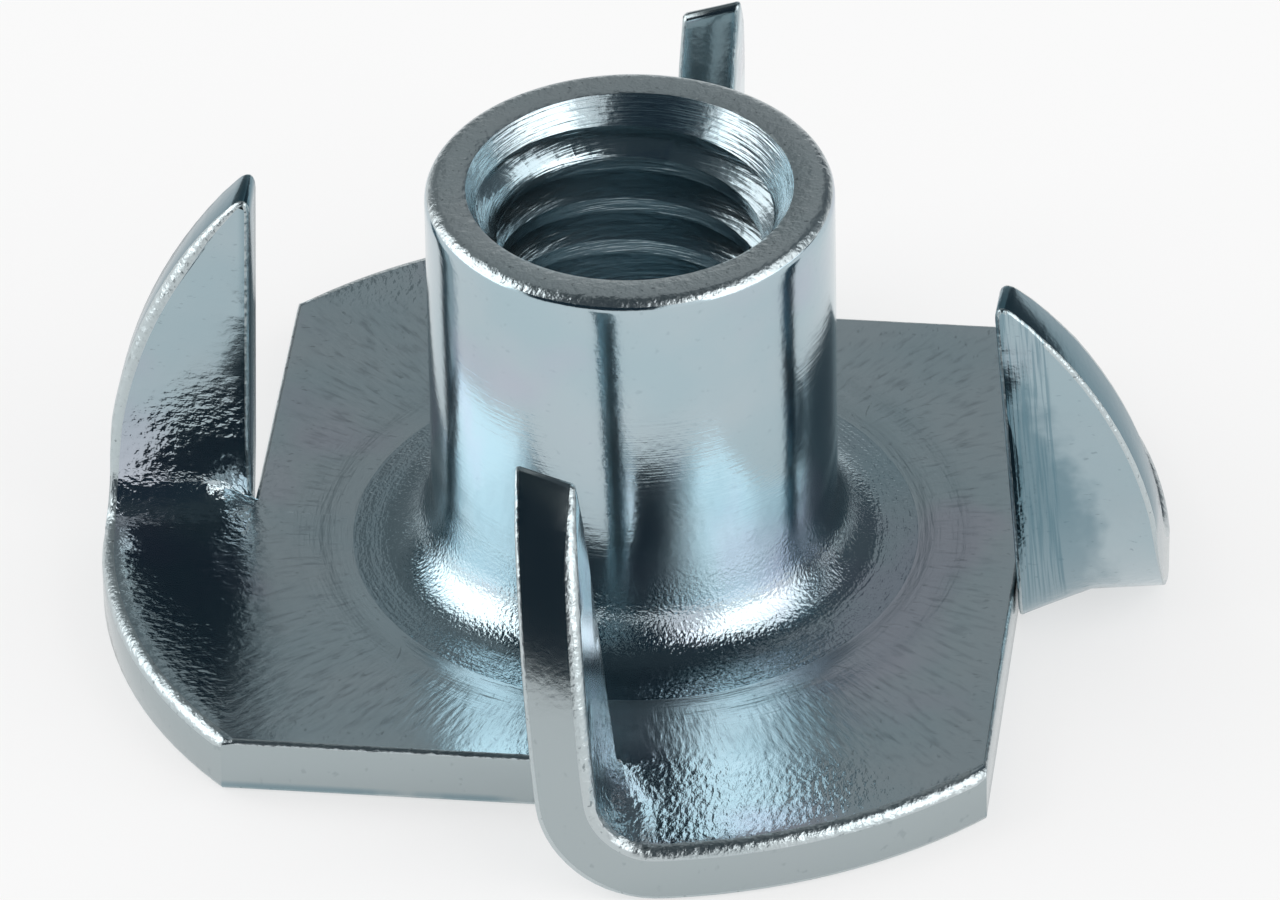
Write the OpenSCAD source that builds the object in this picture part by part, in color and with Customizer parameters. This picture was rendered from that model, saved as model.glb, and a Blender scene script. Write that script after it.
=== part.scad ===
// Four-prong tee nut, drawn and lanced from one round steel blank.
// Millimetres. Origin at the centre of the flange underside, +Z along the barrel.
// The thread is left as its tapping bore; the real one is M5 x 0.8, right hand.

/* [Blank] */
// Diameter of the round blank, which stays as the flange
flange_d = 17; // [16:0.1:18]
// Thickness of the sheet
sheet_t = 0.95; // [0.8:0.05:1.1]
// Rounding of the blank's rim on the barrel side, left by the blanking die
die_roll_r = 0.15; // [0.05:0.05:0.25]

/* [Barrel] */
// Outside diameter of the drawn barrel
barrel_d = 6.45; // [6.2:0.05:6.8]
// Height of the barrel's rim above the flange underside
height = 7.65; // [7:0.05:9]
// Hollow rounding where the barrel rises out of the flange
foot_r = 0.9; // [0.5:0.1:1.2]
// Rounding of the rim's outer edge
rim_r = 0.2; // [0.1:0.05:0.25]
// Rounding of the bore's entry in the flange underside
draw_r = 1; // [0.6:0.1:1.4]

/* [Thread] */
// Tapping bore, which is also the inner diameter of the thread
bore_d = 4.2; // [4.1:0.05:4.3]
// Diameter of the countersunk mouth at the rim
mouth_d = 5.3; // [5:0.05:5.5]

/* [Prongs] */
// Number of prongs
prong_n = 4; // [3:1:4]
// Distance of each straight slit from the barrel's axis
slit_offset = 6.15; // [5.9:0.05:6.3]
// Gap left by the shear between a prong and its slit
shear_gap = 0.05; // [0.02:0.01:0.1]
// How far the slit runs past the start of the fold
slit_over = 0.2; // [0.1:0.05:0.4]
// Inside radius of the fold
bend_r = 0.8; // [0.5:0.1:1.2]
// Depth of the neutral layer in the fold, as a share of the thickness
bend_k = 0.33; // [0.3:0.01:0.45]
// How far the fold falls short of a right angle, in degrees
prong_lean = 3.5; // [0:0.5:8]
// How much a prong is drawn out as it is wiped up
prong_grow = 0.35; // [0.05:0.05:0.4]
// Rounding of the prong's point
tip_r = 0.12; // [0.08:0.02:0.2]
// Width of the sheared bevel, across the prong's outer face
bevel_w = 0.7; // [0.3:0.05:0.9]
// Depth of the sheared bevel, through the prong's thickness
bevel_t = 0.3; // [0.2:0.05:0.5]

/* [Hidden] */
blank_r = flange_d / 2;
barrel_r = barrel_d / 2;
bore_r = bore_d / 2;
mouth_r = mouth_d / 2;
fold_a = 90 - prong_lean;
fold_r = bend_r + sheet_t;
// length of blank that goes into one fold, half of it each side of the slit's middle
fold_len = (bend_r + bend_k * sheet_t) * fold_a * PI / 180;
fold_x = fold_len / 2;
// distances of the fold's outer end and of the prong's straight edge from the barrel's axis
fold_y = sqrt(blank_r * blank_r - fold_x * fold_x) - 0.01;
edge_y = slit_offset + shear_gap;
// centre of the point's rounding in the flat blank, a little nearer the edges than a tangent arc
tip_y = edge_y + 0.95 * tip_r;
tip_x = sqrt(pow(blank_r - 0.95 * tip_r, 2) - tip_y * tip_y);
$fn = 96;

// what a rounding of radius r leaves in the corner at the origin
module corner(r) {
    difference() {
        translate([-r, -r]) square(r + 0.01);
        translate([-r, -r]) circle(r);
    }
}

// half section of the sheet and the barrel, with the bore, its mouth and its drawn entry
module body_section() {
    difference() {
        union() {
            square([blank_r + 1, sheet_t]);
            difference() {
                square([barrel_r, height]);
                translate([barrel_r, height]) corner(rim_r);
            }
            translate([barrel_r, sheet_t]) rotate(180) corner(foot_r);
        }
        translate([-1, -1]) square([bore_r + 1, height + 2]);
        translate([bore_r, 0]) rotate(180) corner(draw_r);
        polygon([[bore_r - 0.1, height - mouth_r + bore_r - 0.1],
            [mouth_r + 0.1, height + 0.1], [bore_r - 0.1, height + 0.1]]);
    }
}

// side view of all that lies inside a bend of radius r, up to x = wide and z = high
module inside_bend(r, wide, high) {
    k = [fold_x - r * tan(fold_a / 2), fold_r - r];
    p = [fold_x, fold_r - r];
    q = [fold_x - r * sin(fold_a), fold_r - r * cos(fold_a)];
    difference() {
        polygon([k, [wide, k.y], [wide, high], [k.x - (high - k.y) / tan(fold_a), high]]);
        difference() {
            polygon([p, p - [0, 1], k - [1, 1], q - [1, 0], q]);
            translate([fold_x, fold_r]) circle(r);
        }
    }
}

// what lies outside the blank's rim, from the fold round to the next slit
module rim_waste() {
    difference() {
        translate([fold_x / 2, -2 * blank_r]) square([2 * blank_r, 1.8 * blank_r]);
        circle(blank_r);
    }
}

// what the rounded point of a prong leaves of the sharp one, in the flat blank
module point_waste() {
    c = [tip_x, -tip_y];
    p = c + [0, tip_r];
    q = c + c * tip_r / norm(c);
    n = [p.y - q.y, q.x - p.x] / norm(p - q);
    difference() {
        polygon([p, q, q + n, p + n]);
        translate(c) circle(tip_r);
    }
}

// waste along the outer face of a prong's straight edge: x runs inwards, y through the sheet
module bevel_waste() {
    p = [-edge_y, sheet_t - bevel_t];
    q = [-edge_y - bevel_w, sheet_t];
    polygon([p + (p - q) / 5, q + (q - p) / 5, [1 - edge_y, sheet_t + 1]]);
}

// puts its children on a prong: x up the prong from the fold, z outwards from its inner face
module on_prong() {
    translate([fold_x, 0, fold_r]) rotate([-90, 90, 0]) rotate([0, 0, fold_a])
        translate([bend_r, 0, 0]) rotate([90, 0, 90]) children();
}

// one prong, folded up beside the slit on the -Y side, with a lap of flat sheet at its root
module prong() {
    lap = slit_over + sheet_t;
    top = fold_r + blank_r;
    difference() {
        translate([0, -edge_y, 0]) rotate([90, 0, 0]) linear_extrude(fold_y - edge_y) difference() {
            inside_bend(fold_r, fold_x + lap, top);
            inside_bend(bend_r, fold_x + lap + 1, top + 1);
        }
        on_prong() {
            translate([prong_grow - fold_x, 0, -1]) linear_extrude(sheet_t + 2) rim_waste();
            translate([prong_grow - fold_x, 0, -1]) linear_extrude(sheet_t + 2) point_waste();
            translate([-fold_r, 0, 0]) rotate([90, 0, 90]) linear_extrude(2 * blank_r) bevel_waste();
        }
    }
}

// waste of the slit on the -Y side and of the half segment that folds up there
module slit_waste() {
    translate([fold_x + slit_over - 3 * blank_r, -slit_offset - blank_r, -1])
        cube([3 * blank_r, blank_r, sheet_t + 2]);
}

// waste of the die roll along the rim of one flat corner of the flange
module roll_waste() {
    intersection() {
        rotate_extrude() translate([blank_r, sheet_t]) corner(die_roll_r);
        translate([fold_x + 2 * slit_over, -blank_r - 1, 0]) cube([blank_r, blank_r / 2 + 1, 2 * sheet_t]);
    }
}

module around() {
    for (i = [0 : prong_n - 1]) rotate([0, 0, i * 360 / prong_n]) children();
}

module tee_nut() {
    color([0.72, 0.75, 0.77]) difference() {
        union() {
            difference() {
                rotate_extrude() body_section();
                around() slit_waste();
            }
            around() prong();
        }
        around() translate([0, 0, -1]) linear_extrude(sheet_t + 2) rim_waste();
        around() roll_waste();
    }
}

tee_nut();
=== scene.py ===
import bmesh
import bpy
import math
from mathutils import Matrix, Vector


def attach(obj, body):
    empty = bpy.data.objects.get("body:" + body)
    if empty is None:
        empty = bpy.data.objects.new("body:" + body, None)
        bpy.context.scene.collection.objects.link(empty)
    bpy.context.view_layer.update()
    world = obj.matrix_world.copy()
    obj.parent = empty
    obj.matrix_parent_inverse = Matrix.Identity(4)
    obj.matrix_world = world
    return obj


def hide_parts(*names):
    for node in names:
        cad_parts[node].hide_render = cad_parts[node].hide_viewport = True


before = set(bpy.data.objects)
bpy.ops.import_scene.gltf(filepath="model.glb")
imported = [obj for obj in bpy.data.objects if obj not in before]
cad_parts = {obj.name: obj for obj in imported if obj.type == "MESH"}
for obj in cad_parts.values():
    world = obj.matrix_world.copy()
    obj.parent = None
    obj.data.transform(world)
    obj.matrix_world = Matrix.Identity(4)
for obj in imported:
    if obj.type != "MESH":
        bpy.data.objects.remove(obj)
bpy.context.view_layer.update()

# helpers for working in edit mode


def startEdit(piece, mode):
    bpy.ops.object.select_all(action="DESELECT")
    piece.select_set(True)
    bpy.context.view_layer.objects.active = piece
    bpy.ops.object.mode_set(mode="EDIT")
    bpy.ops.mesh.select_mode(type=mode)


def endEdit():
    bpy.ops.object.mode_set(mode="OBJECT")


def pick(piece, mode, test):  # selects the verts, edges or faces that pass the test
    bpy.ops.mesh.select_mode(type=mode)
    bpy.ops.mesh.select_all(action="DESELECT")
    bm = bmesh.from_edit_mesh(piece.data)
    parts = {"VERT": bm.verts, "EDGE": bm.edges, "FACE": bm.faces}[mode]
    for part in [part for part in parts if test(part)]:
        part.select_set(True)
    bm.select_flush_mode()
    bmesh.update_edit_mesh(piece.data)


def applyModifier(piece, kind, **settings):
    bpy.ops.object.select_all(action="DESELECT")
    piece.select_set(True)
    bpy.context.view_layer.objects.active = piece
    modifier = piece.modifiers.new(kind.title(), kind)
    for name, value in settings.items():
        setattr(modifier, name, value)
    bpy.ops.object.modifier_apply(modifier=modifier.name)


def middle(part):  # middle of an edge
    return (part.verts[0].co + part.verts[1].co) / 2


# the flat blank, at 1 unit = 1 mm so that the tools' tolerances hold

blank = {
    "rim": 8.5, "thick": 0.95, "sides": 144,
    "hub": 5.5,  # where the flat sheet meets the drawn middle
    "rings": [6.0, 6.5, 7.0, 7.5, 8.1],
    "slit": 6.15, "gap": 0.05, "slitEnds": [0.42, 0.86, 0.85, -0.3],  # front, right, back, left
    "foldFrom": 5.6, "slitFrom": 5,  # how near the axis the cuts across and along a slit reach
    "rimShift": 0.0525,  # brings the corners beside a slit back onto the rim
    "foldRim": 8.448,  # the rim is trimmed straight across the fold
    "prongReach": 6.2,  # how far a prong's half of the segment runs along the slit
    "strip": 0.75,  # width of the scuffed strip beside a slit
    "stripDepths": [0.03, 0.09, 0.03, 0.03],  # front, right, back, left
    "stripStart": 0.3, "stripRun": 1.2,  # where the strip begins, and its run to full depth
    "dieRoll": 0.19, "softEdge": 0.07,
    "rollEnd": -5.5, "rollRun": 1.2,  # the die roll dies out towards a point
    "point": 0.46, "pointFrom": -5.7, "pointClear": -5.45,  # rounding of a point, and where it lies
}
fold = {
    "start": 1.35, "end": -1.15,  # where a prong's flat half ends and its blade begins
    "join": 2.45,  # height at which the blade begins
    "cuts": 20, "rows": [0.25, 0.5, 1.1], "rowReach": -2.2, "bladeCuts": [-2.2, -3.4, -4.6],
    "radiusRun": 1.3,  # width over which the bend's radius changes
    "skewEnd": 0.3, "holdRun": 0.6, "dropRun": 1.5,
}
foldCuts = [fold["start"] + (fold["end"] - fold["start"]) * i / fold["cuts"]
            for i in range(1, fold["cuts"] + 1)]

bpy.ops.object.select_all(action="DESELECT")
bpy.ops.mesh.primitive_circle_add(vertices=blank["sides"], radius=blank["hub"], fill_type="NOTHING")
nut = bpy.context.object
nut.name = "teeNut"
startEdit(nut, "EDGE")
bpy.ops.mesh.select_all(action="SELECT")
lastR = blank["hub"]
for r in blank["rings"] + [blank["rim"]]:
    bpy.ops.mesh.extrude_edges_move()
    bpy.ops.transform.resize(value=(r / lastR, r / lastR, 1), center_override=(0, 0, 0))
    lastR = r

sides = []  # outward and along direction of each slit
for k in range(4):
    turn = Matrix.Rotation(math.radians(90 * k), 3, "Z")
    sides.append((turn @ Vector((0, -1, 0)), turn @ Vector((1, 0, 0))))

for (out, along), slitEnd in zip(sides, blank["slitEnds"]):
    def beyond(face):
        return face.calc_center_median().dot(out) > blank["slit"]

    def onProng(face):
        return beyond(face) and face.calc_center_median().dot(along) < fold["start"]

    def besideSlit(face):
        at = face.calc_center_median()
        return not beyond(face) and -at.dot(out) < at.dot(along) < fold["start"] and at.dot(out) > 0

    def nearSlit(face):
        at = face.calc_center_median()
        return at.dot(out) > blank["slitFrom"] and at.dot(along) < fold["start"]

    pick(nut, "FACE", lambda f: f.calc_center_median().dot(out) > blank["foldFrom"])
    bpy.ops.mesh.bisect(plane_co=along * fold["start"], plane_no=along, threshold=1e-5)
    pick(nut, "FACE", nearSlit)
    bpy.ops.mesh.bisect(plane_co=out * blank["slit"], plane_no=out, threshold=1e-5)
    for region in (onProng, besideSlit):  # one flat face each, so that no grid line meets the slit
        pick(nut, "FACE", region)
        bpy.ops.mesh.dissolve_faces()
    for x in foldCuts + [slitEnd] + fold["bladeCuts"]:
        pick(nut, "FACE", onProng)
        bpy.ops.mesh.bisect(plane_co=along * x, plane_no=along, threshold=1e-5)
    rows = [(y, fold["rowReach"]) for y in fold["rows"]] + [(blank["strip"], -blank["rim"])]
    for y, reach in rows:
        pick(nut, "FACE", lambda f: onProng(f) and f.calc_center_median().dot(along) > reach)
        bpy.ops.mesh.bisect(plane_co=out * (blank["slit"] + blank["gap"] + y), plane_no=out, threshold=1e-5)

    def onSlit(edge):
        return (all(abs(v.co.dot(out) - blank["slit"]) < 1e-3 for v in edge.verts)
                and middle(edge).dot(along) < slitEnd)

    pick(nut, "EDGE", onSlit)
    bpy.ops.mesh.edge_split(type="EDGE")
    pick(nut, "VERT", lambda v: abs(v.co.dot(out) - blank["slit"]) < 1e-3
         and v.co.dot(along) < slitEnd - 0.01 and all(beyond(f) for f in v.link_faces))
    bpy.ops.transform.translate(value=out * blank["gap"])
    pick(nut, "VERT", lambda v: v.co.dot(out) > blank["slit"] and v.co.length > blank["rim"] + 0.01)
    bpy.ops.transform.translate(value=along * blank["rimShift"])

    def atPoint(v):
        onEdge = abs(v.co.dot(out) - blank["slit"] - blank["gap"]) < 1e-3
        return onEdge and v.co.dot(along) < blank["pointFrom"]

    pick(nut, "VERT", lambda v: v.co.dot(out) > blank["slit"] + 0.01
         and v.co.dot(along) < blank["pointClear"] and not atPoint(v))
    bpy.ops.mesh.dissolve_verts()
    pick(nut, "VERT", atPoint)
    bpy.ops.mesh.bevel(offset=blank["point"], segments=6, affect="VERTICES")
bpy.ops.mesh.select_all(action="SELECT")
bpy.ops.mesh.flip_normals()
endEdit()
print("blank cut:", len(nut.data.polygons), "faces")
applyModifier(nut, "SOLIDIFY", thickness=blank["thick"], offset=1)
zs = [v.co.z for v in nut.data.vertices]
print("sheet from", min(zs), "to", max(zs))

# the drawn middle, ring by ring from the flange's top over the rim to its underside

barrel = {
    "radius": 3.225, "height": 7.65, "foot": 0.9, "rimRound": 0.24, "wallCuts": [2.6, 3.6, 5.0, 6.4, 7.2],
    "mouth": 2.56, "mouthDeep": 0.95, "taperWide": 0.2, "taperAt": 0.6,
    "mouthEdge": [(0.07, -0.01), (0.02, -0.03), (0, -0.08)],  # out from the mouth and down from the rim
    "bore": 2.1, "boreCuts": [5.6, 4.0, 2.4], "draw": 1.0, "underRing": 4.2,
    "marks": [(5.35, 0), (5.22, -0.004), (5.1, -0.014), (4.98, -0.006), (4.86, 0), (4.72, -0.006),
              (4.6, -0.02), (4.5, -0.03), (4.4, -0.02), (4.28, -0.006)],  # press marks round the foot
}


def arc(cx, cz, radius, start, end, steps):  # points of a rounding, angles in degrees
    angles = [math.radians(start + (end - start) * i / steps) for i in range(steps + 1)]
    return [(cx + radius * math.cos(a), cz + radius * math.sin(a)) for a in angles]


b = barrel
top = blank["thick"]
profile = [(r, top + z) for r, z in b["marks"]]
profile += arc(b["radius"] + b["foot"], top + b["foot"], b["foot"], 270, 180, 12)
profile += [(b["radius"], z) for z in b["wallCuts"]]
profile += arc(b["radius"] - b["rimRound"], b["height"] - b["rimRound"], b["rimRound"], 0, 90, 6)
profile += [(b["mouth"] + r, b["height"] + z) for r, z in b["mouthEdge"]]
profile += [(b["bore"] + b["taperWide"], b["height"] - b["taperAt"] * b["mouthDeep"]),
            (b["bore"], b["height"] - b["mouthDeep"])]
profile += [(b["bore"], z) for z in b["boreCuts"]]
profile += arc(b["bore"] + b["draw"], b["draw"], b["draw"], 180, 270, 8)
profile += [(b["underRing"], 0), (blank["hub"], 0)]

startEdit(nut, "FACE")
pick(nut, "FACE", lambda f: all(abs(v.co.xy.length - blank["hub"]) < 0.01 for v in f.verts))
bpy.ops.mesh.delete(type="FACE")
pick(nut, "EDGE", lambda e: all(abs(v.co.xy.length - blank["hub"]) < 0.01 and v.co.z > top / 2
                                for v in e.verts))
lastR, lastZ = blank["hub"], top
for r, z in profile:
    bpy.ops.mesh.extrude_edges_move(TRANSFORM_OT_translate={"value": (0, 0, z - lastZ)})
    bpy.ops.transform.resize(value=(r / lastR, r / lastR, 1), center_override=(0, 0, z))
    lastR, lastZ = r, z
bpy.ops.mesh.select_all(action="SELECT")
bpy.ops.mesh.remove_doubles(threshold=1e-3)
bpy.ops.mesh.normals_make_consistent(inside=False)
endEdit()
print("barrel drawn:", len(nut.data.polygons), "faces")

# the scuffed strip on each prong's outer face, and rounded edges


def localPlace(co):  # the slit that a point lies beyond, with its place along and out from the axis
    for k, (out, along) in enumerate(sides):
        if co.dot(out) > blank["slit"] + 0.01 and abs(co.dot(along)) < blank["prongReach"]:
            return k, co.dot(along), co.dot(out)
    return None, 0, 0


crease = blank["slit"] + blank["gap"] + blank["strip"]
for v in nut.data.vertices:
    k, x, y = localPlace(v.co)
    if k is not None and v.co.z < 0.01 and y < crease and x < blank["stripStart"]:
        run = min(1, (blank["stripStart"] - x) / blank["stripRun"])
        v.co.z = blank["stripDepths"][k] * run * (crease - y) / blank["strip"]

weights = nut.data.attributes.new("bevel_weight_edge", "FLOAT", "EDGE")
bm = bmesh.new()
bm.from_mesh(nut.data)
bm.edges.ensure_lookup_table()
values = [0.0] * len(bm.edges)
for e in bm.edges:
    mid = middle(e)
    if mid.xy.length < blank["hub"] + 0.2 or len(e.link_faces) != 2:
        continue
    k, x, y = localPlace(mid)
    if k is not None and y < blank["slit"] + 0.1 and x > blank["slitEnds"][k] - 0.15:
        continue
    bend = math.degrees(e.calc_face_angle())
    upright = abs(e.verts[0].co.z - e.verts[1].co.z) > 0.5
    onRim = all(v.co.xy.length > blank["rim"] - 0.02 for v in e.verts)
    if upright:
        continue
    soft = blank["softEdge"] / blank["dieRoll"]
    if onRim and bend > 60 and mid.z > top / 2:
        run = max(0, (x - blank["rollEnd"]) / blank["rollRun"])
        values[e.index] = 1 if k is None or x > 0 else min(1, soft + run * (1 - soft))
    elif bend > 40:
        values[e.index] = soft
bm.free()
weights.data.foreach_set("value", values)
applyModifier(nut, "BEVEL", width=blank["dieRoll"], segments=3, limit_method="WEIGHT",
              use_clamp_overlap=False, loop_slide=False)
print("edges rounded:", len(nut.data.polygons), "faces")

# the thread: a helical cutter taken out of the bore

thread = {"pitch": 0.8, "root": 2.5, "inner": 1.95, "rootFlat": 0.1, "low": -1.2, "turns": 13, "steps": 96}
halfRoot = thread["rootFlat"] / 2
halfWide = halfRoot + (thread["root"] - thread["inner"]) * math.tan(math.radians(30))
bpy.ops.object.select_all(action="DESELECT")
bpy.ops.mesh.primitive_plane_add(size=1, location=(0, 0, 0))
tap = bpy.context.object
corners = [(thread["inner"], -halfWide), (thread["root"], -halfRoot), (thread["root"], halfRoot),
           (thread["inner"], halfWide)]
for v, (x, z) in zip([tap.data.vertices[i] for i in tap.data.polygons[0].vertices], corners):
    v.co = (x, 0, thread["low"] + z)
startEdit(tap, "EDGE")
bpy.ops.mesh.select_all(action="SELECT")
bpy.ops.mesh.delete(type="ONLY_FACE")
endEdit()
applyModifier(tap, "SCREW", axis="Z", angle=2 * math.pi, screw_offset=thread["pitch"],
              iterations=thread["turns"], steps=thread["steps"], render_steps=thread["steps"],
              use_smooth_shade=False)
startEdit(tap, "EDGE")
bpy.ops.mesh.select_all(action="SELECT")
bpy.ops.mesh.remove_doubles(threshold=1e-4)
pick(tap, "EDGE", lambda e: len(e.link_faces) == 1 and middle(e).z < 2)
bpy.ops.mesh.edge_face_add()
pick(tap, "EDGE", lambda e: len(e.link_faces) == 1)
bpy.ops.mesh.edge_face_add()
bpy.ops.mesh.select_all(action="SELECT")
bpy.ops.mesh.normals_make_consistent(inside=False)
endEdit()
applyModifier(nut, "BOOLEAN", object=tap, operation="DIFFERENCE", solver="EXACT")
bpy.data.objects.remove(tap)
print("thread cut:", len(nut.data.polygons), "faces")

# zones of finish, marked while the sheet is flat

zones = {"face": 0, "cut": 1, "edge": 2, "barrel": 3, "thread": 4}
flatPlaces = [c * 0.001 for v in nut.data.vertices for c in v.co]
nut.data.attributes.new("flatBlank", "FLOAT_VECTOR", "POINT").data.foreach_set("vector", flatPlaces)
for face in nut.data.polygons:
    r, z, tilt = face.center.xy.length, face.center.z, abs(face.normal.z)
    inward = face.normal.xy.dot(face.center.xy) < 0
    if r > blank["hub"]:
        zone = "cut" if tilt < 0.2 else "edge" if tilt < 0.975 else "face"
    elif r > blank["hub"] - 1 or z < 0.3:
        zone = "face"
    elif r < b["mouth"] + 0.02 and (inward or tilt > 0.1) and 1 < z < b["height"] - 0.04:
        zone = "thread"
    else:
        zone = "edge" if z > b["height"] - 0.12 else "barrel"
    face.material_index = zones[zone]

# folding: each prong has its own lean, height and radii, as the press left them

prongs = [  # front, right, back, left
    {"offset": 0.46, "lean": 5.6, "tip": 7.0, "slitRadius": 0.15, "rimRadius": 0.95,
     "sway": 0, "drop": 0.5, "skew": 0, "hold": 0},
    {"offset": 0.80, "lean": 3.2, "tip": 6.9, "slitRadius": 0.1, "rimRadius": 1.28,
     "sway": 0.06, "drop": 0.2, "skew": 0.35, "hold": 0},
    {"offset": 0.714, "lean": 3.2, "tip": 7.23, "slitRadius": 0.6, "rimRadius": 0.9,
     "sway": 0, "drop": 0.45, "skew": 0, "hold": 0},
    {"offset": 0.90, "lean": 3.0, "tip": 6.95, "slitRadius": 0.9, "rimRadius": 0.7,
     "sway": 0.02, "drop": 0, "skew": 0, "hold": 1.1},
]


def ramp(value, low, high):
    return min(1, max(0, (value - low) / (high - low)))


def foldPoint(x, y, n, prong):  # x along the slit, y out from the axis, n up through the sheet
    if x >= fold["start"]:
        return x, n
    lean = math.radians(prong["lean"])
    bend = math.pi / 2 - lean
    share = min(1, max(0, (y - blank["slit"]) / fold["radiusRun"]))
    radius = prong["slitRadius"] + (prong["rimRadius"] - prong["slitRadius"]) * share
    t = blank["thick"]
    corner = -prong["offset"] + t / math.cos(lean) - t * math.tan(lean)
    foldX = corner + radius * math.tan(bend / 2)
    lenFlat = fold["start"] - foldX
    lenArc = bend * (radius + t / 2)
    riseArc = t + radius - (radius + t / 2) * math.cos(bend)
    lenBlade = (fold["join"] - riseArc) / math.sin(bend)
    if x < fold["end"]:
        reach = -math.sqrt(blank["rim"] ** 2 - blank["slit"] ** 2)
        grow = (prong["tip"] - fold["join"]) / math.sin(bend) / (fold["end"] - reach)
        s = lenBlade + (fold["end"] - x) * grow
    else:
        d = (fold["start"] - x) / (fold["start"] - fold["end"]) * (lenFlat + lenArc + lenBlade)
        if d < lenFlat:
            return fold["start"] - d, n
        s = d - lenFlat - lenArc
    rho = radius + t - n
    angle = bend if s >= 0 else bend * (1 + s / lenArc)
    s = max(0, s)
    return (foldX - rho * math.sin(angle) - s * math.cos(bend),
            t + radius - rho * math.cos(angle) + s * math.sin(bend))


for v in nut.data.vertices:
    k, x, y = localPlace(v.co)
    if k is None:
        continue
    out, along = sides[k]
    if x < fold["start"]:
        y = min(y, blank["foldRim"])
    prong, n = prongs[k], v.co.z
    slitEnd = blank["slitEnds"][k]
    turn = prong["skew"] * ramp(y, blank["rim"], blank["slit"]) ** 1.5 * ramp(x, slitEnd, fold["skewEnd"])
    held = ramp(y, blank["slit"] + prong["hold"], blank["slit"]) ** 2 if prong["hold"] else 0
    held *= ramp(x, slitEnd - fold["holdRun"], slitEnd)  # a short slit holds the fold down
    newX, z = foldPoint(x, y, n, prong)
    x, z = newX + (x - newX) * held - turn, z + (n - z) * held
    z -= prong["drop"] * n / blank["thick"] * max(0, 1 - (prong["tip"] - z) / fold["dropRun"])
    y -= prong["sway"] * max(0, z - blank["thick"])
    v.co = out * y + along * x + Vector((0, 0, z))
print("prongs folded")

startEdit(nut, "VERT")
bpy.ops.mesh.select_all(action="SELECT")
bpy.ops.mesh.normals_make_consistent(inside=False)
bpy.ops.transform.resize(value=(0.001, 0.001, 0.001), center_override=(0, 0, 0))
endEdit()
bpy.ops.object.shade_smooth_by_angle(angle=math.radians(35))
applyModifier(nut, "WEIGHTED_NORMAL", mode="FACE_AREA", weight=100, keep_sharp=True)

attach(nut, "root")
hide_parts("tee_nut")

# zinc finishes


def newMaterial(name):
    mat = bpy.data.materials.new(name)
    mat.use_nodes = True
    return mat, mat.node_tree.nodes, mat.node_tree.links


def addNode(nodes, kind, x, y, **settings):
    node = nodes.new(kind)
    node.location = (x, y)
    for name, value in settings.items():
        setattr(node, name, value)
    return node


def startGroup(name, inputs, outputs):
    group = bpy.data.node_groups.new(name, "ShaderNodeTree")
    for title, kind, value in inputs:
        socket = group.interface.new_socket(title, in_out="INPUT", socket_type=kind)
        if value is not None:
            socket.default_value = value
    for title, kind in outputs:
        group.interface.new_socket(title, in_out="OUTPUT", socket_type=kind)
    start = addNode(group.nodes, "NodeGroupInput", -900, 0)
    end = addNode(group.nodes, "NodeGroupOutput", 700, 0)
    return group, group.nodes, group.links, start, end


def mathNode(nodes, links, operation, x, y, first, second=None):
    node = addNode(nodes, "ShaderNodeMath", x, y, operation=operation)
    for socket, value in zip(node.inputs, (first, second)):
        if value is None:
            continue
        if isinstance(value, (int, float)):
            socket.default_value = value
        else:
            links.new(value, socket)
    return node.outputs[0]


def placeGroup(nodes, group, x, y, **values):
    node = addNode(nodes, "ShaderNodeGroup", x, y, node_tree=group)
    for title, value in values.items():
        node.inputs[title].default_value = value
    return node


# places: where a point lies round the axis and on its prong, in millimetres, with masks, one of which paints
# shade on the left and right blades
places, nodes, links, start, end = startGroup(
    "places", [("Object", "NodeSocketVector", None), ("Flat", "NodeSocketVector", None)],
    [("Here", "NodeSocketVector"), ("Round", "NodeSocketVector"), ("Fold", "NodeSocketVector"),
     ("Burnish", "NodeSocketFloat"), ("Plain", "NodeSocketFloat"), ("Stretch", "NodeSocketFloat"),
     ("Foot", "NodeSocketFloat"), ("Rings", "NodeSocketFloat"), ("Strip", "NodeSocketFloat"),
     ("BladeShade", "NodeSocketFloat"), ("Crinkle", "NodeSocketFloat")])


def sum2(x, y, first, second):
    return mathNode(nodes, links, "ADD", x, y, first, second)


def times(x, y, first, second):
    return mathNode(nodes, links, "MULTIPLY", x, y, first, second)


def fade(x, y, value, low, high):  # 0 at low, 1 at high
    node = addNode(nodes, "ShaderNodeMapRange", x, y, interpolation_type="SMOOTHSTEP")
    node.inputs["From Min"].default_value, node.inputs["From Max"].default_value = low, high
    links.new(value, node.inputs["Value"])
    return node.outputs[0]


def millimetres(socket, y):
    scale = addNode(nodes, "ShaderNodeVectorMath", -700, y, operation="SCALE")
    scale.inputs["Scale"].default_value = 1000
    links.new(start.outputs[socket], scale.inputs[0])
    split = addNode(nodes, "ShaderNodeSeparateXYZ", -550, y)
    links.new(scale.outputs[0], split.inputs[0])
    return scale.outputs[0], split.outputs["X"], split.outputs["Y"], split.outputs["Z"]


def joined(y, socket, *values):
    join = addNode(nodes, "ShaderNodeCombineXYZ", 450, y)
    for value, inlet in zip(values, join.inputs):
        links.new(value, inlet)
    links.new(join.outputs[0], end.inputs[socket])


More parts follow.
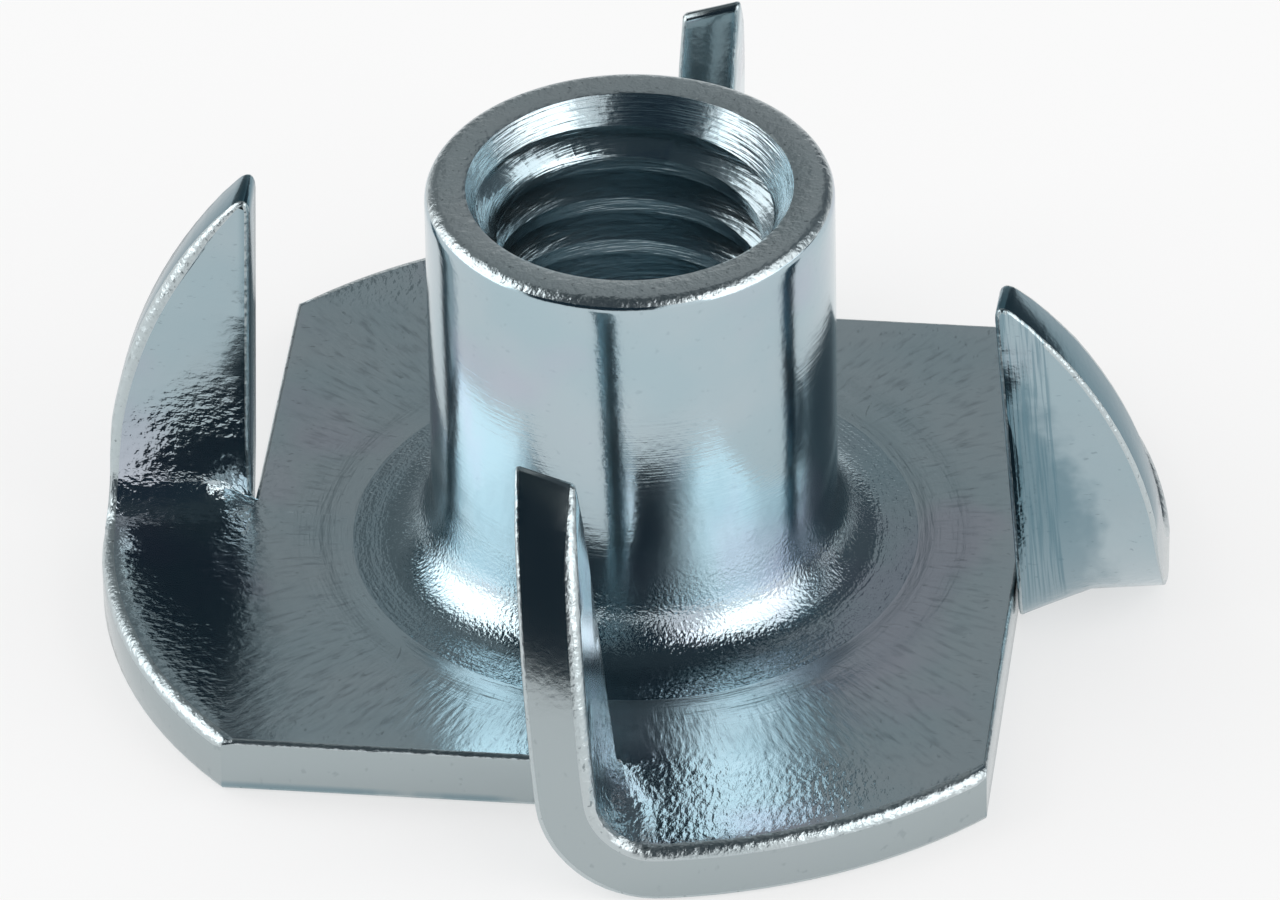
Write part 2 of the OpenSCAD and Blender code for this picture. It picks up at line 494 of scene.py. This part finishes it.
here, x, y, z = millimetres("Object", 500)
links.new(here, end.inputs["Here"])
angle = mathNode(nodes, links, "ARCTAN2", -300, 550, y, x)
squares = sum2(-150, 450, times(-300, 400, x, x), times(-300, 250, y, y))
radius = mathNode(nodes, links, "SQRT", 0, 450, squares)
joined(450, "Round", angle, radius, z)
links.new(fade(0, 250, z, 2.8, 1.6), end.inputs["Foot"])
# Rings: the press-marked band round the foot, which takes grain and also painted shade
rings = times(250, 200, fade(0, 100, radius, 5.6, 5.2), fade(0, -50, radius, 3.6, 4.0))
links.new(rings, end.inputs["Rings"])
here, x, y, z = millimetres("Flat", -300)
wide = mathNode(nodes, links, "ABSOLUTE", -400, -200, x)
deep = mathNode(nodes, links, "ABSOLUTE", -400, -350, y)
out = mathNode(nodes, links, "MAXIMUM", -250, -250, wide, deep)
sideways = mathNode(nodes, links, "GREATER_THAN", -250, -400, wide, deep)
alongX = times(-100, -450, mathNode(nodes, links, "SIGN", -250, -500, x), y)
alongY = times(-100, -600, times(-250, -650, mathNode(nodes, links, "SIGN", -400, -650, y), -1), x)
change = mathNode(nodes, links, "SUBTRACT", 50, -500, alongX, alongY)
along = sum2(350, -500, times(200, -500, change, sideways), alongY)
joined(-300, "Fold", along, out, z)
burnish = fade(200, -150, out, 5.2, 6.4)
links.new(burnish, end.inputs["Burnish"])
plain = mathNode(nodes, links, "SUBTRACT", 450, -150, 1, burnish)
links.new(times(600, -150, plain, fade(450, 0, radius, 4.5, 5.3)), end.inputs["Plain"])
curl = sum2(650, -650, times(500, -650, fade(350, -650, along, -2.5, -1.3), 0.85), 0.15)
links.new(times(800, -500, burnish, curl), end.inputs["Stretch"])
strip = times(500, -850, fade(350, -850, out, 7.0, 6.93), fade(350, -1000, along, 0.3, -0.3))
below = times(650, -950, fade(500, -1000, z, 0.2, 0.1), fade(500, -1150, out, 6.1, 6.15))
links.new(times(800, -850, strip, below), end.inputs["Strip"])
lanced = fade(350, -1300, out, 6.15, 6.19)
upright = fade(350, -1450, along, 0.6, -1.6)
outer = fade(350, -1600, z, 0.3, 0.1)
squares = sum2(50, -1750, times(-100, -1750, x, x), times(-100, -1900, y, y))
flatRadius = mathNode(nodes, links, "SQRT", 200, -1750, squares)
wobble = addNode(nodes, "ShaderNodeTexNoise", 50, -2050)
wobble.inputs["Scale"].default_value = 2.5
links.new(here, wobble.inputs["Vector"])
ragged = sum2(350, -1900, flatRadius, times(200, -2050, sum2(200, -2200, wobble.outputs["Fac"], -0.5), 0.9))
paintedOuterShade = times(500, -1750, outer, fade(350, -1750, ragged, 7.9, 7.2))  # painted shade on part of a prong's outer face, with a ragged edge
# painted shade in the band beside the slit on an upright blade
paintedSlitShade = times(500, -1900, fade(200, -1900, out, 6.4, 6.25), upright)
shaded = sum2(650, -1850, times(500, -2050, paintedSlitShade, 0.8), times(650, -1750, paintedOuterShade, 1.3))
paintedBladeShade = times(950, -1300, lanced, sum2(800, -1300, upright, shaded))
links.new(times(1100, -1300, paintedBladeShade, sideways), end.inputs["BladeShade"])  # painted shade: the upright blades of the left and right prongs are darkened, more beside the slit and on the outer face
bent = times(500, -2200, fade(350, -2200, along, -2.0, -1.0), fade(350, -2350, along, 1.3, 0.5))
crinkled = times(650, -2200, bent, fade(500, -2350, z, 0.5, 0.8))
links.new(times(800, -2200, lanced, crinkled), end.inputs["Crinkle"])

# passivation and painted shade: cool zinc that drifts between teal and grey, with rosy patches and dark
# specks, and Dark, which mixes the finish's own darker tone with painted shade
tint, nodes, links, start, end = startGroup(
    "passivationAndShade", [("Here", "NodeSocketVector", None), ("Grain", "NodeSocketVector", None),
                    ("Rosy", "NodeSocketFloat", 0.3), ("Grey", "NodeSocketFloat", 0.0),
                    ("Dark", "NodeSocketFloat", 0.0), ("Specks", "NodeSocketFloat", 0.3),
                    ("Streak", "NodeSocketVector", None), ("Scuff", "NodeSocketFloat", 0.0),
                    ("Wrinkle", "NodeSocketVector", None), ("Lined", "NodeSocketFloat", 0.0)],
    [("Color", "NodeSocketColor")])


def drift(y, place, scale, detail, low, high):  # noise between two levels
    noise = addNode(nodes, "ShaderNodeTexNoise", -650, y)
    noise.inputs["Scale"].default_value = scale
    noise.inputs["Detail"].default_value = detail
    links.new(start.outputs[place], noise.inputs["Vector"])
    return fade(-450, y, noise.outputs["Fac"], low, high)


def blendColour(x, y, amount, first, second):
    mix = addNode(nodes, "ShaderNodeMix", x, y, data_type="RGBA")
    for value, socket in ((amount, mix.inputs[0]), (first, mix.inputs[6]), (second, mix.inputs[7])):
        if isinstance(value, tuple):
            socket.default_value = value
        else:
            links.new(value, socket)
    return mix.outputs[2]


tones = {
    "teal": (0.56, 0.69, 0.74, 1), "pale": (0.63, 0.72, 0.76, 1), "rosy": (0.70, 0.62, 0.76, 1),
    "grey": (0.52, 0.55, 0.545, 1), "speck": (0.08, 0.10, 0.11, 1), "scuff": (0.16, 0.28, 0.33, 1),
    "line": (0.12, 0.14, 0.17, 1), "dark": (0.1, 0.2, 0.25, 1),
}
colour = blendColour(-200, 300, drift(300, "Here", 0.4, 4, 0.35, 0.68), tones["teal"], tones["pale"])
amount = times(-200, 100, drift(100, "Here", 0.33, 2, 0.55, 0.72), start.outputs["Rosy"])
colour = blendColour(0, 200, amount, colour, tones["rosy"])
colour = blendColour(200, 100, start.outputs["Grey"], colour, tones["grey"])
amount = times(-200, -200, drift(-200, "Grain", 1, 2, 0.65, 0.74), start.outputs["Specks"])
colour = blendColour(400, 0, amount, colour, tones["speck"])
amount = times(-200, -400, drift(-400, "Streak", 1, 3, 0.42, 0.62), start.outputs["Scuff"])
colour = blendColour(480, -50, amount, colour, tones["scuff"])
amount = times(-200, -600, drift(-600, "Wrinkle", 1, 3, 0.48, 0.75), start.outputs["Lined"])
colour = blendColour(510, -75, amount, colour, tones["line"])
# Dark: the finish's own darker tone plus painted shade on the side blades and round the foot
colour = blendColour(550, -100, start.outputs["Dark"], colour, tones["dark"])
links.new(colour, end.inputs["Color"])

# grain: noise as a height, in thousandths of a millimetre
grain, nodes, links, start, end = startGroup(
    "grain", [("Place", "NodeSocketVector", None), ("Depth", "NodeSocketFloat", 5),
              ("Mask", "NodeSocketFloat", 1)],
    [("Height", "NodeSocketFloat")])
noise = addNode(nodes, "ShaderNodeTexNoise", -600, 100)
noise.inputs["Scale"].default_value = 1
noise.inputs["Detail"].default_value = 2
links.new(start.outputs["Place"], noise.inputs["Vector"])
level = times(-150, 0, sum2(-350, 0, noise.outputs["Fac"], -0.5), start.outputs["Depth"])
links.new(times(0, 0, level, start.outputs["Mask"]), end.inputs["Height"])

looks = {  # rough: plain and burnished; blade and ring: painted shade on the left and right blades and round the barrel's foot; each grain: place, waves per millimetre, depth in microns, mask
    "zincFace": {"rough": (0.27, 0.15), "rosy": 0.5, "grey": 0.2, "dark": 0.14,
                 "blade": 0.28, "ring": 0.06, "lined": 0.32, "specks": 0.3,
                 "speckPlace": ("Fold", (16, 6, 6)),
                 "grains": [("Fold", (10, 6, 6), 14, "Stretch"), ("Fold", (1.5, 1.5, 1.5), 7, "Burnish"),
                            ("Fold", (9, 7, 7), 22, "Crinkle"),
                            ("Round", (60, 2.4, 0), 10, "Plain"), ("Round", (9, 16, 0), 9, "Rings"),
                            ("Fold", (0.3, 22, 0), 3, "Strip"), ("Here", (20, 20, 20), 0.8, None)]},
    "zincCut": {"rough": (0.17, 0.17), "rosy": 0.15, "grey": 0.9, "dark": 0.3,
                "blade": 0.6, "ring": 0, "lined": 0, "specks": 0.15,
                "speckPlace": ("Here", (6, 6, 6)),
                "grains": [("Here", (2.5, 2.5, 2.5), 6, None), ("Here", (14, 14, 14), 1.5, None)]},
    "zincEdge": {"rough": (0.3, 0.3), "rosy": 0, "grey": 0.6, "dark": 0.08,
                 "blade": 0, "ring": 0, "lined": 0, "specks": 0.6,
                 "speckPlace": ("Here", (11, 11, 11)),
                 "grains": [("Here", (7, 7, 7), 26, None), ("Here", (18, 18, 18), 8, None)]},
    "zincBarrel": {"rough": (0.13, 0.13), "rosy": 0.45, "grey": 0, "dark": 0.32,
                   "blade": 0, "ring": 0.12, "lined": 0, "specks": 0.1,
                   "speckPlace": ("Round", (20, 8, 8)),
                   "grains": [("Here", (17, 17, 17), 13, "Foot"), ("Here", (9, 9, 9), 2, None),
                              ("Here", (0.7, 0.7, 0.7), 7, None), ("Round", (1.5, 0, 24), 1.4, None),
                              ("Round", (9, 16, 12), 14, "Rings")]},
    "zincThread": {"rough": (0.2, 0.2), "rosy": 0, "grey": 0.1, "dark": 0.2,
                   "blade": 0, "ring": 0, "lined": 0, "specks": 0.3,
                   "speckPlace": ("Round", (8, 9, 9)),
                   "grains": [("Round", (2, 0, 28), 10, None), ("Round", (5, 0, 11), 9, None),
                              ("Here", (9, 9, 9), 4, None)]},
}


def zincMaterial(name, look):
    mat, nodes, links = newMaterial(name)
    shader = nodes["Principled BSDF"]
    shader.inputs["Metallic"].default_value = 1
    coords = addNode(nodes, "ShaderNodeTexCoord", -1700, 0)
    flat = addNode(nodes, "ShaderNodeAttribute", -1700, -250, attribute_name="flatBlank")
    where = placeGroup(nodes, places, -1450, 0)
    links.new(coords.outputs["Object"], where.inputs["Object"])
    links.new(flat.outputs["Vector"], where.inputs["Flat"])

    def scaled(x, y, place, waves):
        node = addNode(nodes, "ShaderNodeVectorMath", x, y, operation="MULTIPLY")
        node.inputs[1].default_value = waves
        links.new(where.outputs[place], node.inputs[0])
        return node.outputs[0]

    colour = placeGroup(nodes, tint, -600, 300, Rosy=look["rosy"], Grey=look["grey"], Specks=look["specks"])
    links.new(where.outputs["Here"], colour.inputs["Here"])
    links.new(scaled(-900, 300, *look["speckPlace"]), colour.inputs["Grain"])
    links.new(scaled(-900, 450, "Fold", (0.7, 22, 0)), colour.inputs["Streak"])
    scuff = mathNode(nodes, links, "MULTIPLY", -900, 600, where.outputs["Strip"], 0.6)
    links.new(scuff, colour.inputs["Scuff"])
    links.new(scaled(-900, 1050, "Round", (52, 2, 0)), colour.inputs["Wrinkle"])
    lined = mathNode(nodes, links, "MULTIPLY", -900, 1200, where.outputs["Plain"], look["lined"])
    links.new(lined, colour.inputs["Lined"])
    # painted shade from the side blades and the foot ring, added to the finish's own dark tone
    shade = mathNode(nodes, links, "MULTIPLY", -1050, 750, where.outputs["BladeShade"], look["blade"])
    shade = mathNode(nodes, links, "ADD", -900, 750, shade, look["dark"])
    ring = mathNode(nodes, links, "MULTIPLY", -900, 900, where.outputs["Rings"], look["ring"])
    links.new(mathNode(nodes, links, "ADD", -750, 800, shade, ring), colour.inputs["Dark"])
    links.new(colour.outputs["Color"], shader.inputs["Base Color"])
    rough = addNode(nodes, "ShaderNodeMapRange", -600, 50)
    rough.inputs["To Min"].default_value, rough.inputs["To Max"].default_value = look["rough"]
    links.new(where.outputs["Burnish"], rough.inputs["Value"])
    links.new(rough.outputs[0], shader.inputs["Roughness"])

    total = None
    for i, (place, waves, depth, mask) in enumerate(look["grains"]):
        layer = placeGroup(nodes, grain, -900, -200 - 200 * i, Depth=depth)
        links.new(scaled(-1150, -200 - 200 * i, place, waves), layer.inputs["Place"])
        if mask:
            links.new(where.outputs[mask], layer.inputs["Mask"])
        height = layer.outputs["Height"]
        if total is None:
            total = height
        else:
            total = mathNode(nodes, links, "ADD", -600, -200 - 200 * i, total, height)
    bump = addNode(nodes, "ShaderNodeBump", -300, -200)
    bump.inputs["Distance"].default_value = 1e-6
    links.new(total, bump.inputs["Height"])
    links.new(bump.outputs["Normal"], shader.inputs["Normal"])
    return mat


for name, look in looks.items():
    nut.data.materials.append(zincMaterial(name, look))
print("zinc finishes made")

# camera, floor and light

view = {
    "azimuth": 0.1203, "elevation": 0.6199, "roll": -0.0181,  # radians
    "distance": 0.2631, "target": (0, 0, 0.003173),
    "focal": 16618.8, "centre": (633.66, 416.67), "frame": (1280, 900),  # pixels
}


def towards(azimuth, elevation):  # azimuth from the camera's own, to the right, in degrees
    a, e = math.radians(azimuth) + view["azimuth"], math.radians(elevation)
    return Vector((math.sin(a) * math.cos(e), -math.cos(a) * math.cos(e), math.sin(e)))


back = towards(0, math.degrees(view["elevation"]))
right = (-back).cross(Vector((0, 0, 1))).normalized()
up = right.cross(-back)
roll = view["roll"]
right, up = right * math.cos(roll) + up * math.sin(roll), up * math.cos(roll) - right * math.sin(roll)
shiftX = (view["frame"][0] / 2 - view["centre"][0]) / view["focal"]
shiftY = (view["frame"][1] / 2 - view["centre"][1]) / view["focal"]
aim = (-back + right * shiftX - up * shiftY).normalized()
right = (right - aim * right.dot(aim)).normalized()
turn = Matrix((right, right.cross(aim), -aim)).transposed().to_4x4()
camera = bpy.data.objects.new("camera", bpy.data.cameras.new("camera"))
bpy.context.collection.objects.link(camera)
camera.matrix_world = Matrix.Translation(Vector(view["target"]) + back * view["distance"]) @ turn
camera.data.sensor_width = 36
camera.data.lens = view["focal"] * 36 / view["frame"][0]
camera.data.clip_start = 0.01
bpy.context.scene.camera = camera


def directlySeen(nodes, links, x):  # 1 for camera, mirror and see-through rays
    ray = addNode(nodes, "ShaderNodeLightPath", x - 200, 0)
    seen = mathNode(nodes, links, "MAXIMUM", x, 200, ray.outputs["Is Camera Ray"],
                    ray.outputs["Is Glossy Ray"])
    return mathNode(nodes, links, "MAXIMUM", x + 150, 200, seen, ray.outputs["Is Transmission Ray"])


floorMat, nodes, links = newMaterial("paleFloor")
nodes.remove(nodes["Principled BSDF"])
matt = addNode(nodes, "ShaderNodeBsdfDiffuse", -300, 100)
matt.inputs["Color"].default_value = (0.82, 0.82, 0.82, 1)
glow = addNode(nodes, "ShaderNodeEmission", -300, -100)
blend = addNode(nodes, "ShaderNodeMixShader", 0, 0)
seen = directlySeen(nodes, links, -600)
links.new(mathNode(nodes, links, "MULTIPLY", -250, 250, seen, 0.6), blend.inputs[0])
links.new(matt.outputs[0], blend.inputs[1])
links.new(glow.outputs[0], blend.inputs[2])
links.new(blend.outputs[0], nodes["Material Output"].inputs["Surface"])
bpy.ops.mesh.primitive_plane_add(size=3, location=(0, 0, -0.00002))
floor = bpy.context.object
floor.name = "floor"
floor.data.materials.append(floorMat)

world = bpy.data.worlds.new("studio")
bpy.context.scene.world = world
world.use_nodes = True
nodes, links = world.node_tree.nodes, world.node_tree.links
plain = nodes["Background"]
plain.inputs["Color"].default_value = (1, 1, 1, 1)
plain.inputs["Strength"].default_value = 0.75
white = addNode(nodes, "ShaderNodeBackground", 0, -200)
white.inputs["Color"].default_value = (1, 1, 1, 1)
white.inputs["Strength"].default_value = 1
blend = addNode(nodes, "ShaderNodeMixShader", 250, 0)
links.new(directlySeen(nodes, links, -300), blend.inputs[0])
links.new(plain.outputs[0], blend.inputs[1])
links.new(white.outputs[0], blend.inputs[2])
links.new(blend.outputs[0], nodes["World Output"].inputs["Surface"])

lamps = [  # name, azimuth, elevation, distance, width, height, brightness
    ("leftBox", -97, 27, 0.5, 0.6, 0.45, 1.5),
    ("rightBox", 72, 27, 0.5, 0.62, 0.45, 1.5),
]
for name, azimuth, elevation, distance, width, height, brightness in lamps:
    lamp = bpy.data.lights.new(name, "AREA")
    lamp.shape = "RECTANGLE"
    lamp.size, lamp.size_y = width, height
    lamp.energy = brightness * math.pi * width * height
    holder = bpy.data.objects.new(name, lamp)
    bpy.context.collection.objects.link(holder)
    direction = towards(azimuth, elevation)
    holder.location = direction * distance
    holder.rotation_euler = direction.to_track_quat("Z", "Y").to_euler()

cards = [  # name, azimuth, elevation, distance, width, height, colour
    ("frontCard", -22, 33, 0.62, 0.9, 1.0, (0.018, 0.032, 0.045)),
    ("topCard", 0, 80, 0.62, 1.0, 0.55, (0.03, 0.045, 0.055)),
    ("backCard", 180, 48, 0.66, 0.8, 1.1, (0.31, 0.33, 0.34)),
    ("backRightCard", 122, 30, 0.62, 1.1, 1.0, (0.08, 0.1, 0.115)),
    ("backLeftCard", -146, 30, 0.62, 0.6, 1.0, (0.16, 0.18, 0.19)),
]
for name, azimuth, elevation, distance, width, height, colour in cards:
    direction = towards(azimuth, elevation)
    bpy.ops.mesh.primitive_plane_add(size=1, location=direction * distance,
                                     rotation=direction.to_track_quat("Z", "Y").to_euler())
    card = bpy.context.object
    card.name = name
    card.scale = (width, height, 1)
    card.visible_camera = card.visible_shadow = card.visible_diffuse = False
    cardMat, nodes, links = newMaterial(name)
    nodes.remove(nodes["Principled BSDF"])
    glow = addNode(nodes, "ShaderNodeEmission", 0, 0)
    glow.inputs["Color"].default_value = (*colour, 1)
    links.new(glow.outputs[0], nodes["Material Output"].inputs["Surface"])
    card.data.materials.append(cardMat)
bpy.context.scene.view_settings.view_transform = "Standard"
print("studio set")
